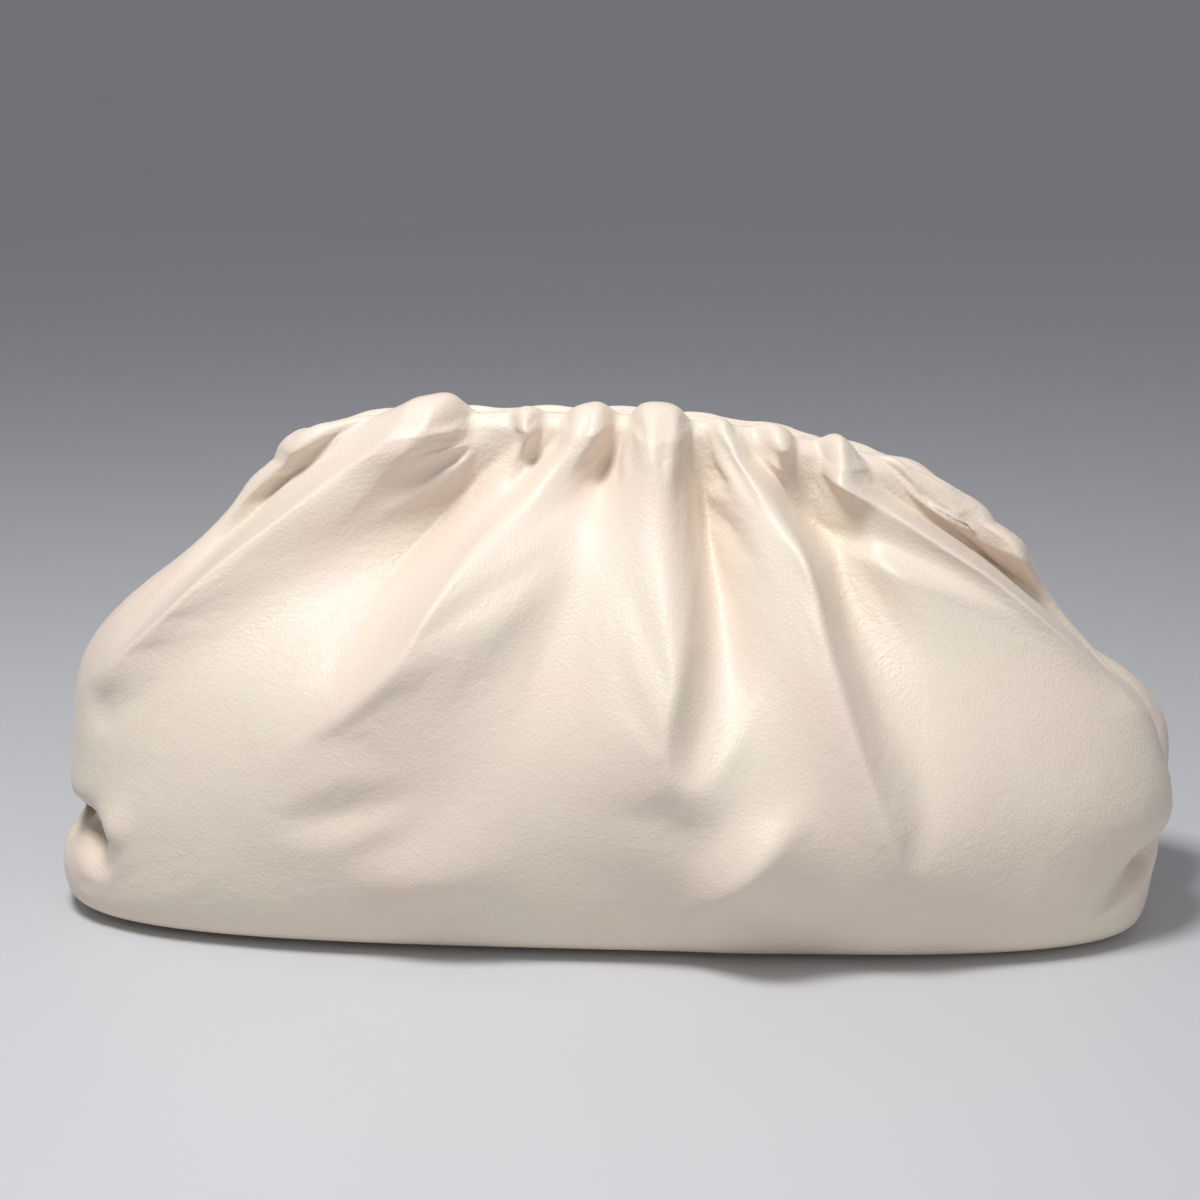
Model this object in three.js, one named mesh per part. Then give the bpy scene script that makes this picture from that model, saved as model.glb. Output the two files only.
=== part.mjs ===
// Soft gathered pouch bag of smooth leather, closed. Millimetres, +Z up.
import * as THREE from 'three';

// Driving dimensions
const WIDTH = 400; // left to right at the widest
const DEPTH = 166; // front to back at the belly
const HEIGHT = 186; // floor to the top of the gathered mouth
const WALL = 2.0; // leather
const LIP_SIDE = 4.0; // upright leather between the belly and the rolled lip
const HEM = 10.0; // straight part of the turned-in hem
const SINK = 2.5; // deepest a crease may press into the rolled lip
const PUFF = 1.5; // gathered leather standing off the roll everywhere
const RAIL_THICK = 2.0; // steel strip of the closing frame
const RAIL_TALL = 6.0;

// Clearances
const RAIL_PLAY = 0.5; // hidden frame to leather
const MOUTH_GAP = 5.0; // slit left between the two lips

// Derived sizes
const HALF_WIDTH = WIDTH / 2;
const HALF_DEPTH = DEPTH / 2;
const MOUTH_LEFT = -0.5525 * HALF_WIDTH; // left end of the mouth, from the middle of the base
const MOUTH_RIGHT = 0.5975 * HALF_WIDTH;
const FOLD = 0.06 * DEPTH; // height of a fold whose row says 1
const SPREAD = 0.025 * WIDTH; // flank of a fold whose row says 1
const RAIL_SPACE = RAIL_THICK / 2 + RAIL_PLAY + WALL; // middle of the rail to the outside of the leather
const ROLL = RAIL_SPACE + SINK; // radius of the rolled lip
const ROLL_Y = MOUTH_GAP / 2 + ROLL; // middle of the roll from the middle of the mouth
const LIP_DEPTH = ROLL + LIP_SIDE; // top of the lip down to its foot
const CREASE_DROP = (SINK - PUFF) / 2; // how far a crease lowers the top of the roll
const RAIL_TOP = WALL + CREASE_DROP + RAIL_PLAY; // top of the lip down to the top of the rail
const LIP_ROW = WIDTH / 4; // leather that one row stands for above the foot of the lip
const LAST_ROW = 1 + (LIP_SIDE + Math.PI * ROLL + HEM) / LIP_ROW; // the hem's edge

// How folds fade. Rows run from 0 at the base edge to 1 at the foot of the lip, and on over the lip.
const LEVEL_FROM = 0.62; // row where folds begin to push level instead of square to the leather
const LEVEL_BY = 0.92; // row where they have come to push level
const PUFF_FROM = 0.86; // row where the leather begins to stand off the roll
const FLAT_TO = 0.12; // row down to which folds keep their height, before the flat base
const END_FADE = 0.18; // share of a fold's path over which its two flanks even out
const CREST = 1.6; // power of a flank's curve
const LIP_START = 1.14; // row on the lip where the gathers' paths begin
const BACK_BEND = [0.45, 0.35]; // where a back gather bends: share of its rows, share of its way around
const BACK_FLANK = [0.4, 0.3]; // a back gather's flank at the lip: share of its flank below, plus this
const BACK_ROUND = [0.5, 0.35]; // roundness of the back's ridges and of its valleys
const BACK_PEAK_AT = 0.4;

// Fineness
const FRONT_COLUMNS = 60;
const BACK_COLUMNS = 44;
const ROLL_STEPS = 6;
const RAIL_STEPS = 64;
const RING_STEPS = 360; // half a body section
const CORNER_STEPS = 24; // quarter turn at an end of the mouth
const PATH_STEPS = 32; // one fold
const MEASURE_STEPS = 60; // base edge to hem's edge
const SLOPE_STEP = 0.004; // rows and ways around, for reading which way the leather faces
const TINY = 1e-9;

// Body sections from the base to below the lip. Columns: rise (share of the height of the lip's foot),
// left, right (shares of half WIDTH), front, back (shares of half DEPTH), square (2 is an ellipse)
const SECTIONS = [
  [0.0, 0.925, 0.905, 0.72, 0.78, 3.6],
  [0.035, 0.985, 0.94, 0.89, 0.91, 3.4],
  [0.11, 1.0, 0.955, 0.97, 0.985, 3.1],
  [0.21, 0.99, 0.97, 1.0, 1.0, 2.9],
  [0.32, 0.986, 0.992, 0.985, 0.99, 2.8],
  [0.44, 0.98, 0.975, 0.915, 0.93, 2.7],
  [0.56, 0.962, 0.932, 0.795, 0.815, 2.6],
  [0.68, 0.89, 0.85, 0.635, 0.655, 2.6],
  [0.79, 0.78, 0.78, 0.46, 0.475, 2.6],
  [0.88, 0.702, 0.736, 0.31, 0.315, 2.7],
  [0.95, 0.652, 0.7, 0.212, 0.212, 2.9],
];

// Top of the lips. Columns: share along the mouth from the left, share of HEIGHT
const RIM_LINE = [
  [0.0, 0.91],
  [0.1, 0.945],
  [0.25, 0.955],
  [0.5, 0.955],
  [0.65, 0.94],
  [0.8, 0.905],
  [0.92, 0.865],
  [1.0, 0.81],
];

// Folds. Columns: name, path of [row, around], height [start, peak, peak at, end] (FOLD),
// left flank [start, end], right flank [start, end] (SPREAD), roundness of the crest.
// Around: 0 left end, 0.5 middle of the front, 1 right end, 1.5 middle of the back.
const FRONT_FOLDS = [
  ['left end roll', [[1.14, 0.07], [1, 0.07], [0.9, 0.05], [0.72, 0.03], [0.6, 0.02]],
    [0.4, 0.5, 0.3, 0], [1.2, 1.4], [1.2, 1.4], 0.8],
  ['left valley', [[1.14, 0.15], [1, 0.15], [0.9, 0.1], [0.78, 0.085], [0.66, 0.09], [0.57, 0.08]],
    [-0.3, -0.7, 0.3, 0], [2, 1.4], [0.7, 0.6], 0.3],
  ['first gather edge', [[1.14, 0.19], [1, 0.18], [0.9, 0.145], [0.8, 0.125], [0.62, 0.12], [0.53, 0.1]],
    [0.4, 0.8, 0.4, 0], [0.7, 0.8], [7, 6], 0.3],
  ['first gather', [[1.14, 0.245], [1, 0.24], [0.92, 0.215], [0.82, 0.2], [0.7, 0.2], [0.58, 0.2]],
    [1, 1, 0.15, 0], [3.4, 6], [1.6, 6], 0.6],
  ['first tuck', [[1.14, 0.3], [1, 0.315], [0.93, 0.335], [0.83, 0.33], [0.74, 0.31], [0.65, 0.3],
    [0.56, 0.295]], [-0.3, -1.5, 0.35, 0], [1.6, 6], [0.9, 4.4], 0.35],
  ['second gather', [[1.14, 0.36], [1, 0.362], [0.9, 0.355], [0.8, 0.34], [0.73, 0.33]],
    [0.7, 0.7, 0.4, 0], [0.9, 1.2], [1, 1.2], 0.5],
  ['second crease', [[1.14, 0.395], [1, 0.398], [0.88, 0.38], [0.78, 0.36], [0.66, 0.345]],
    [-0.3, -0.8, 0.5, 0], [0.9, 2], [0.5, 0.7], 0.3],
  ['third gather edge', [[1.14, 0.43], [1, 0.43], [0.9, 0.405], [0.8, 0.38], [0.7, 0.365], [0.58, 0.345],
    [0.5, 0.315], [0.44, 0.28]], [0.5, 1.4, 0.5, 0], [0.8, 1.6], [4, 6.2], 0.3],
  ['third gather', [[1.14, 0.463], [1, 0.465], [0.88, 0.455], [0.76, 0.44]],
    [0.7, 0.4, 0.3, 0], [1.6, 2.6], [0.8, 1.4], 0.6],
  ['third crease', [[1.14, 0.494], [1, 0.492], [0.9, 0.482], [0.82, 0.474], [0.75, 0.47]],
    [-0.3, -1.4, 0.55, 0], [1, 1.8], [0.7, 1.2], 0.3],
  ['fourth gather', [[1.14, 0.532], [1, 0.532], [0.8, 0.53], [0.66, 0.53], [0.52, 0.52]],
    [0.8, 0.9, 0.2, 0], [1.4, 5], [1.3, 2.4], 0.7],
  ['fourth gather edge', [[1.14, 0.56], [1, 0.565], [0.88, 0.578], [0.76, 0.582], [0.62, 0.575],
    [0.5, 0.55], [0.42, 0.548], [0.44, 0.58], [0.54, 0.62], [0.66, 0.68]],
    [0.1, 1.1, 0.45, 0], [5.5, 5.5], [0.7, 2.4], 0.35],
  ['deep pit', [[1.14, 0.595], [1, 0.592], [0.88, 0.59], [0.76, 0.592], [0.64, 0.588], [0.5, 0.565]],
    [-0.3, -1.7, 0.3, 0], [0.8, 1.8], [1.4, 3.8], 0.4],
  ['small pleat', [[1.14, 0.58], [1, 0.582], [0.94, 0.585]],
    [0.4, 0.2, 0.5, 0], [0.6, 0.6], [0.6, 0.6], 0.5],
  ['fifth gather', [[1.14, 0.615], [1, 0.62], [0.92, 0.655], [0.84, 0.68], [0.7, 0.688], [0.55, 0.688],
    [0.4, 0.692], [0.28, 0.715], [0.34, 0.735], [0.44, 0.77]],
    [0.7, 1.2, 0.4, 0], [4, 5], [0.9, 2.6], 0.35],
  ['fifth valley', [[1.14, 0.655], [1, 0.665], [0.85, 0.695], [0.7, 0.715], [0.55, 0.705], [0.42, 0.7],
    [0.34, 0.71]], [-0.3, -1, 0.45, 0], [0.8, 1.6], [1, 4.4], 0.4],
  ['narrow strip', [[1, 0.67], [0.92, 0.69], [0.84, 0.71], [0.77, 0.722]],
    [0.2, 0.4, 0.5, 0], [0.5, 0.6], [0.5, 0.5], 0.3],
  ['sixth gather', [[1.14, 0.705], [1, 0.7], [0.92, 0.695], [0.86, 0.7]],
    [0.8, 0.7, 0.4, 0], [1.3, 0.9], [1.3, 1.1], 0.6],
  ['sharp pit', [[1.14, 0.75], [1, 0.745], [0.9, 0.72], [0.82, 0.71], [0.79, 0.74], [0.79, 0.78]],
    [-0.4, -1.8, 0.5, 0], [0.8, 1], [0.7, 1.4], 0.3],
  ['seventh gather', [[1.14, 0.79], [1, 0.785], [0.94, 0.77]],
    [0.8, 0.9, 0.5, 0.4], [0.9, 1], [1.5, 1.8], 0.5],
  ['long overlap', [[0.95, 0.765], [0.89, 0.8], [0.82, 0.855], [0.74, 0.9], [0.66, 0.93], [0.55, 0.945]],
    [0.4, 1.1, 0.4, 0], [3, 4.4], [0.9, 1.4], 0.35],
  ['long valley', [[1.14, 0.825], [1, 0.83], [0.9, 0.85], [0.8, 0.915], [0.7, 0.95], [0.6, 0.96]],
    [-0.3, -1, 0.45, 0], [0.8, 1], [1.6, 2.6], 0.4],
  ['curl', [[1.14, 0.848], [1, 0.852], [0.95, 0.86]],
    [0.6, 0.5, 0.5, 0], [0.5, 0.6], [0.5, 0.6], 0.5],
  ['curl crease', [[1.14, 0.865], [1, 0.87], [0.95, 0.874]],
    [-0.3, -0.7, 0.5, 0], [0.5, 0.5], [0.5, 0.5], 0.3],
  ['eighth gather', [[1.14, 0.915], [1, 0.92], [0.85, 0.935], [0.7, 0.965], [0.6, 0.985]],
    [0.7, 0.8, 0.3, 0], [1.6, 1.6], [2, 2.4], 0.8],
  ['second ridge', [[0.77, 0.715], [0.75, 0.76], [0.72, 0.82], [0.69, 0.88]],
    [0.2, 0.6, 0.4, 0], [4, 4], [1, 1.2], 0.4],
  ['low ridge', [[0.2, 0.555], [0.24, 0.585], [0.31, 0.61], [0.4, 0.655]],
    [0, 0.8, 0.45, 0], [4.4, 4.4], [1.6, 2], 0.5],
  ['left dent', [[0.54, 0.12], [0.44, 0.12], [0.35, 0.135]],
    [0, -0.5, 0.5, 0], [1.8, 1.8], [1.6, 1.6], 0.9],
  ['right dent', [[0.34, 0.74], [0.38, 0.76], [0.4, 0.79]],
    [0, -0.4, 0.5, 0], [2.2, 2.4], [2, 2.4], 0.9],
  ['soft arc', [[0.56, 0.38], [0.62, 0.4], [0.66, 0.45], [0.62, 0.5]],
    [0, 0.4, 0.5, 0], [2.4, 2.4], [3.6, 3.6], 0.9],
  ['low left dip', [[0.23, 0.2], [0.29, 0.25], [0.33, 0.31], [0.3, 0.35]],
    [0, -0.3, 0.5, 0], [2.4, 2.4], [3, 3], 0.9],
];
const END_FOLDS = [
  ['left gusset', [[1, 0], [0.8, -0.01], [0.5, -0.02], [0.35, -0.02]],
    [-0.2, -0.9, 0.5, -0.5], [1.6, 2.4], [1.6, 2], 0.4],
  ['right gusset', [[0.98, 1], [0.8, 0.995], [0.6, 0.985], [0.45, 0.975], [0.3, 0.98]],
    [-0.3, -1.3, 0.6, -0.6], [1.6, 1.8], [1.6, 2.4], 0.3],
  ['right back bulge', [[0.65, 1.06], [0.45, 1.07], [0.3, 1.07]],
    [0, 0.5, 0.5, 0], [3, 3], [3, 3], 1],
  ['left corner tuck', [[0.21, 0.135], [0.26, 0.11], [0.265, 0.05], [0.262, 0], [0.26, -0.07],
    [0.24, -0.13]], [-0.6, -1.6, 0.4, 0], [0.9, 0.9], [0.7, 0.8], 0.3],
  ['left corner ridge', [[0.34, 0.13], [0.29, 0.135], [0.23, 0.14]],
    [0, 0.5, 0.7, 0.2], [0.8, 0.7], [1.6, 1.6], 0.4],
  ['right corner tuck', [[0.13, 0.86], [0.2, 0.875], [0.26, 0.9], [0.29, 0.95], [0.3, 1], [0.28, 1.08]],
    [0, -0.9, 0.5, 0], [0.7, 0.8], [0.7, 0.8], 0.3],
];

// Gathers of the back. Columns: around at the lip, around at the end, row of the end,
// height at the lip, peak height (FOLD), flank (SPREAD)
const BACK_FOLDS = [
  [1.08, 1.05, 0.62, 0.6, 0.7, 1.8],
  [1.13, 1.095, 0.64, -0.3, -1.0, 1.5],
  [1.18, 1.15, 0.5, 0.7, 0.9, 3.0],
  [1.235, 1.22, 0.66, -0.3, -1.2, 2.2],
  [1.29, 1.26, 0.42, 0.7, 1.0, 3.4],
  [1.345, 1.35, 0.7, -0.3, -1.3, 1.8],
  [1.4, 1.415, 0.55, 0.7, 0.8, 2.8],
  [1.455, 1.475, 0.6, -0.3, -1.4, 2.6],
  [1.51, 1.545, 0.45, 0.8, 1.0, 3.6],
  [1.57, 1.59, 0.68, -0.3, -1.1, 1.8],
  [1.62, 1.67, 0.52, 0.7, 0.9, 3.0],
  [1.68, 1.71, 0.64, -0.3, -1.3, 2.4],
  [1.74, 1.78, 0.5, 0.7, 0.9, 3.2],
  [1.8, 1.83, 0.66, -0.3, -1.1, 1.9],
  [1.865, 1.89, 0.58, 0.6, 0.8, 2.4],
  [1.93, 1.945, 0.64, -0.3, -0.8, 1.5],
];

// Rows of the mesh from the base edge to the foot of the lip. Columns: row, kept inside (1 is yes)
const BODY_ROWS = [
  [0, 1],
  [0.03, 0],
  [0.07, 1],
  [0.12, 0],
  [0.18, 1],
  [0.25, 1],
  [0.32, 1],
  [0.39, 1],
  [0.46, 1],
  [0.53, 1],
  [0.6, 1],
  [0.66, 1],
  [0.72, 1],
  [0.78, 1],
  [0.83, 1],
  [0.87, 1],
  [0.91, 1],
  [0.945, 1],
  [0.975, 1],
  [1, 1],
];

// Small helpers
const clamp = (v, a, b) => Math.min(b, Math.max(a, v));
const mix = (a, b, k) => a + (b - a) * k;
const even = (steps) => Array.from({ length: steps + 1 }, (_, i) => i / steps);
const wrapped = (d) => ((d + 1) % 2 + 2) % 2 - 1;
const minus = (a, b) => a.map((c, i) => c - b[i]);

// 0 to 1 without a corner at either end
function smooth(x) {
  const c = clamp(x, 0, 1);
  return c * c * (3 - 2 * c);
}

function unit(v) {
  const length = Math.hypot(...v) + TINY;
  return v.map((c) => c / length);
}

function cross(a, b) {
  return [a[1] * b[2] - a[2] * b[1], a[2] * b[0] - a[0] * b[2], a[0] * b[1] - a[1] * b[0]];
}

// Smooth curve through stations xs with values ys, which are numbers or points
function spline(xs, ys, x) {
  const n = xs.length;
  const at = clamp(x, xs[0], xs[n - 1]);
  let i = 0;
  while (i < n - 2 && at >= xs[i + 1]) i += 1;
  const h = xs[i + 1] - xs[i];
  const t = (at - xs[i]) / h;
  const k = [2 * t ** 3 - 3 * t ** 2 + 1, t ** 3 - 2 * t ** 2 + t, -2 * t ** 3 + 3 * t ** 2, t ** 3 - t ** 2];
  const one = (pick) => {
    const slope = (j) => {
      const a = Math.max(j - 1, 0);
      const b = Math.min(j + 1, n - 1);
      return (pick(ys[b]) - pick(ys[a])) / (xs[b] - xs[a]);
    };
    return k[0] * pick(ys[i]) + k[1] * h * slope(i) + k[2] * pick(ys[i + 1]) + k[3] * h * slope(i + 1);
  };
  return Array.isArray(ys[0]) ? ys[0].map((_, c) => one((v) => v[c])) : one((v) => v);
}

// Points at equal shares of a polyline's length
function byLength(points) {
  const s = [0];
  for (let i = 1; i < points.length; i += 1) {
    s.push(s[i - 1] + Math.hypot(...minus(points[i], points[i - 1])));
  }
  return (u) => {
    const d = clamp(u, 0, 1) * s[s.length - 1];
    let a = 0;
    let b = s.length - 1;
    while (b - a > 1) {
      const middle = (a + b) >> 1;
      if (s[middle] <= d) a = middle;
      else b = middle;
    }
    const k = (d - s[a]) / (s[b] - s[a] || 1);
    return points[a].map((c, i) => mix(c, points[b][i], k));
  };
}

// Half a body section, from its left end to its right end
function halfRing(left, right, depth, square) {
  return byLength(even(RING_STEPS).map((s) => {
    const c = Math.cos(Math.PI * (1 - s));
    const x = Math.abs(c) ** (2 / square) * (c < 0 ? -left : right);
    return [x, depth * Math.abs(Math.sin(Math.PI * s)) ** (2 / square)];
  }));
}

// Half the outline at a level distance r from the middle line of the mouth
function halfStadium(r) {
  const x0 = MOUTH_LEFT + ROLL_Y;
  const x1 = MOUTH_RIGHT - ROLL_Y;
  const quarter = even(CORNER_STEPS).map((s) => (s * Math.PI) / 2);
  return byLength([
    ...quarter.map((a) => [x0 - r * Math.cos(a), r * Math.sin(a)]),
    ...quarter.map((a) => [x1 + r * Math.sin(a), r * Math.cos(a)]),
  ]);
}

// A ring from its front and back halves: around 0 to 1 on the front, 1 to 2 on the back
function ring(front, back) {
  return (w) => {
    const v = ((w % 2) + 2) % 2;
    const [x, y] = v <= 1 ? front(v) : back(2 - v);
    return [x, v <= 1 ? -y : y];
  };
}

function rimHeight(x) {
  const share = (x - MOUTH_LEFT) / (MOUTH_RIGHT - MOUTH_LEFT);
  return HEIGHT * spline(RIM_LINE.map((r) => r[0]), RIM_LINE.map((r) => r[1]), share);
}

const lipHalf = halfStadium(ROLL_Y + ROLL);
const lipRing = ring(lipHalf, lipHalf);
const bodyRings = SECTIONS.map(([rise, left, right, front, back, square]) => ({
  rise,
  at: ring(halfRing(left * HALF_WIDTH, right * HALF_WIDTH, front * HALF_DEPTH, square),
    halfRing(left * HALF_WIDTH, right * HALF_WIDTH, back * HALF_DEPTH, square)),
}));
const sectionRows = even(SECTIONS.length);

// How far a row of the lip has turned over the roll, in radians
const lipTurn = (t) => ((t - 1) * LIP_ROW - LIP_SIDE) / ROLL;

// Section through the lip at a row: level distance from the mouth's middle line, height above its top
function lipSection(t) {
  const turn = lipTurn(t);
  if (turn <= 0) return [ROLL_Y + ROLL, (turn - 1) * ROLL];
  if (turn <= Math.PI) return [ROLL_Y + ROLL * Math.cos(turn), (Math.sin(turn) - 1) * ROLL];
  return [ROLL_Y - ROLL, (Math.PI - turn - 1) * ROLL];
}

// The smooth form without folds: a point at (around, row)
function plain(w, t) {
  if (t > 1) {
    const [r, rise] = lipSection(t);
    const half = halfStadium(r);
    const [x, y] = ring(half, half)(w);
    return [x, y, rimHeight(x) + rise];
  }
  const [x, y] = lipRing(w);
  const foot = rimHeight(x) - LIP_DEPTH;
  const points = bodyRings.map(({ rise, at }) => [...at(w), rise * foot]);
  points.push([x, y, foot]);
  return spline(sectionRows, points, t);
}

// Leather measured on the smooth form: from the base edge up to a row, and halfway around at a row
const measures = (() => {
  const rows = even(MEASURE_STEPS).map((s) => LAST_ROW * s);
  const lines = rows.map((t) => even(CORNER_STEPS).map((w) => plain(w, t)));
  const half = lines.map((line) => (
    line.slice(1).reduce((sum, p, i) => sum + Math.hypot(...minus(p, line[i])), 0)
  ));
  const middle = lines.map((line) => line.slice(CORNER_STEPS / 4, CORNER_STEPS * 3 / 4));
  const up = [0];
  for (let i = 1; i < rows.length; i += 1) {
    const steps = middle[i].map((p, k) => Math.hypot(...minus(p, middle[i - 1][k])));
    up.push(up[i - 1] + steps.reduce((a, b) => a + b) / steps.length);
  }
  return { up, half };
})();
function reading(values, t) {
  const f = clamp(t / LAST_ROW, 0, 1) * MEASURE_STEPS;
  const i = Math.min(Math.floor(f), MEASURE_STEPS - 1);
  return mix(values[i], values[i + 1], f - i);
}
const lengthUp = (t) => reading(measures.up, t);
const halfAround = (t) => reading(measures.half, t);

// Folds as records with fine paths, whose rows are lengths of leather
const backRows = BACK_FOLDS.map(([lip, below, endRow, start, peak, flank]) => {
  const bend = [mix(1, endRow, BACK_BEND[0]), mix(lip, below, BACK_BEND[1])];
  const flanks = [BACK_FLANK[0] * flank + BACK_FLANK[1], flank];
  return ['back', [[LIP_START, lip], [1, lip], bend, [endRow, below]],
    [start, peak, BACK_PEAK_AT, 0], flanks, flanks, start > 0 ? BACK_ROUND[0] : BACK_ROUND[1]];
});
const folds = [...FRONT_FOLDS, ...END_FOLDS, ...backRows].map(([, path, height, left, right, round]) => ({
  height,
  left,
  right,
  round,
  fromLip: path[0][0] >= 1,
  path: even(PATH_STEPS).map((s) => {
    const [row, around] = spline(even(path.length - 1), path, s);
    return [lengthUp(row), around];
  }),
}));

// Height of one fold at a point given by its way around, its leather length up and the half girth there
function foldHeight({ path, height, left, right, round, fromLip }, w, up, half) {
  let nearest = Infinity;
  let across = 0;
  let along = 0;
  for (let i = 0; i < PATH_STEPS; i += 1) {
    const x = wrapped(w - path[i][1]) * half;
    const y = up - path[i][0];
    const dx = (path[i + 1][1] - path[i][1]) * half;
    const dy = path[i + 1][0] - path[i][0];
    const length2 = dx * dx + dy * dy + TINY;
    const s = clamp((x * dx + y * dy) / length2, 0, 1);
    const d = Math.hypot(x - s * dx, y - s * dy);
    if (d < nearest) {
      nearest = d;
      across = (dx * y - dy * x) / Math.sqrt(length2);
      along = (i + s) / PATH_STEPS;
    }
  }
  const wideLeft = mix(...left, along) * SPREAD;
  const wideRight = mix(...right, along) * SPREAD;
  const sided = smooth(Math.min(1 - along, fromLip ? 1 : along) / END_FADE);
  const width = mix((wideLeft + wideRight) / 2, across < 0 ? wideLeft : wideRight, sided);
  const q = (along <= 0 && fromLip ? Math.abs(across) : nearest) / width;
  const down = (Math.hypot(q, round) - round) / (Math.hypot(1, round) - round);
  const [start, peak, peakAt, end] = height;
  const h = along < peakAt ? mix(start, peak, smooth(along / peakAt))
    : mix(peak, end, smooth((along - peakAt) / (1 - peakAt)));
  return h * FOLD * Math.max(0, 1 - down) ** CREST;
}

// How far a crease may go in at a point of the smooth form before it meets the frame's space
function roomInside([x, y]) {
  const over = x - clamp(x, MOUTH_LEFT + ROLL_Y, MOUTH_RIGHT - ROLL_Y);
  return Math.max(Math.hypot(over, y) - ROLL_Y - RAIL_SPACE, SINK);
}

// Folded surface: point and the direction the leather is offset along
function skin(w, t) {
  const p = plain(w, t);
  const sideways = minus(plain(w + SLOPE_STEP, t), plain(w - SLOPE_STEP, t));
  const upwards = minus(plain(w, t + SLOPE_STEP), plain(w, Math.max(t - SLOPE_STEP, 0)));
  const turn = clamp(lipTurn(t), 0, Math.PI);
  const square = unit(cross(sideways, upwards));
  const level = unit([square[0], square[1], 0]);
  const levelling = turn > 0 ? Math.max(Math.cos(turn), 0)
    : smooth((t - LEVEL_FROM) / (LEVEL_BY - LEVEL_FROM));
  const n = unit(square.map((c, i) => mix(c, level[i], levelling)));
  const up = lengthUp(t);
  const half = halfAround(t);
  let h = folds.reduce((sum, f) => sum + foldHeight(f, w, up, half), 0);
  if (h < 0) {
    const room = roomInside(p);
    h = -room * (1 - Math.exp(h / room));
  }
  h += PUFF * smooth((t - PUFF_FROM) / (1 - PUFF_FROM));
  h *= Math.cos(turn / 2) ** 2 * smooth(t / FLAT_TO);
  const at = p.map((c, i) => c + n[i] * h);
  at[2] = Math.max(at[2], 0);
  return { at, n };
}

// Faces between rings of points. A closed set also joins its last ring to its first.
function ringsToMesh(rings, closed) {
  const n = rings[0].length;
  const index = [];
  const rows = closed ? rings.length : rings.length - 1;
  for (let i = 0; i < rows; i += 1) {
    const a = i * n;
    const b = ((i + 1) % rings.length) * n;
    for (let j = 0; j < n; j += 1) {
      const k = (j + 1) % n;
      index.push(a + j, a + k, b + k, a + j, b + k, b + j);
    }
  }
  return { points: rings.flat(), index };
}

function geometry({ points, index }) {
  const g = new THREE.BufferGeometry();
  g.setAttribute('position', new THREE.Float32BufferAttribute(points.flat(), 3));
  g.setIndex(index);
  g.computeVertexNormals();
  return g;
}

function ringMiddle(row, z) {
  const sum = row.reduce(([x, y], p) => [x + p[0], y + p[1]], [0, 0]);
  return [sum[0] / row.length, sum[1] / row.length, z];
}

// Leather body: one closed skin, up the outside, over the roll, down the hem and back down inside
function leatherBody() {
  const rollRows = even(ROLL_STEPS).map((s) => 1 + (LIP_SIDE + s * Math.PI * ROLL) / LIP_ROW);
  const rows = [...BODY_ROWS, ...rollRows.map((t) => [t, 1]), [LAST_ROW, 1]];
  const columns = [
    ...even(FRONT_COLUMNS).slice(0, -1),
    ...even(BACK_COLUMNS).slice(0, -1).map((s) => 1 + s),
  ];
  const grid = rows.map(([t]) => columns.map((w) => skin(w, t)));
  const outside = grid.map((row) => row.map(({ at }) => at));
  const inside = grid.map((row, r) => row.map(({ at, n }) => {
    const p = at.map((c, i) => c - n[i] * WALL);
    p[2] = r === 0 ? WALL : Math.max(p[2], WALL);
    return p;
  })).filter((_, r) => rows[r][1]).reverse();
  const mesh = ringsToMesh([...outside, ...inside], false);
  const n = columns.length;
  const last = mesh.points.length - n;
  const under = mesh.points.push(ringMiddle(outside[0], 0)) - 1;
  const floor = mesh.points.push(ringMiddle(inside[inside.length - 1], WALL)) - 1;
  for (let j = 0; j < n; j += 1) {
    const k = (j + 1) % n;
    mesh.index.push(under, k, j, floor, last + j, last + k);
  }
  return geometry(mesh);
}

// Closing frame: an upright steel strip that follows the mouth inside the rolled lips
function closingFrame() {
  const strip = (r, drop) => {
    const half = halfStadium(r);
    return even(RAIL_STEPS).slice(0, -1).map((s) => {
      const [x, y] = ring(half, half)(2 * s);
      return [x, y, rimHeight(x) - drop];
    });
  };
  const outer = ROLL_Y + RAIL_THICK / 2;
  const inner = ROLL_Y - RAIL_THICK / 2;
  return geometry(ringsToMesh([
    strip(outer, RAIL_TOP + RAIL_TALL),
    strip(outer, RAIL_TOP),
    strip(inner, RAIL_TOP),
    strip(inner, RAIL_TOP + RAIL_TALL),
  ], true));
}

const leather = new THREE.MeshStandardMaterial({ color: 0xdccfbd, roughness: 0.5, metalness: 0 });
const steel = new THREE.MeshStandardMaterial({ color: 0x9a9a98, roughness: 0.35, metalness: 1 });

const body = new THREE.Mesh(leatherBody(), leather);
body.name = 'leather_body';
const frame = new THREE.Mesh(closingFrame(), steel);
frame.name = 'closing_frame';

// Origin on the floor, under the middle of the whole bag
body.geometry.computeBoundingBox();
const { min, max } = body.geometry.boundingBox;
const shift = [-(min.x + max.x) / 2, -(min.y + max.y) / 2, -min.z];
for (const piece of [body, frame]) piece.geometry.translate(...shift);

const group = new THREE.Group();
group.name = 'cloud_pouch_bag';
group.add(body, frame);
export default group;
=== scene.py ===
"""Soft gathered pouch bag: one wrap of cream nappa leather, rolled over a hidden steel closing frame."""
import math

import bpy
import numpy as np
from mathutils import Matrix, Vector
from mathutils.kdtree import KDTree


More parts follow.
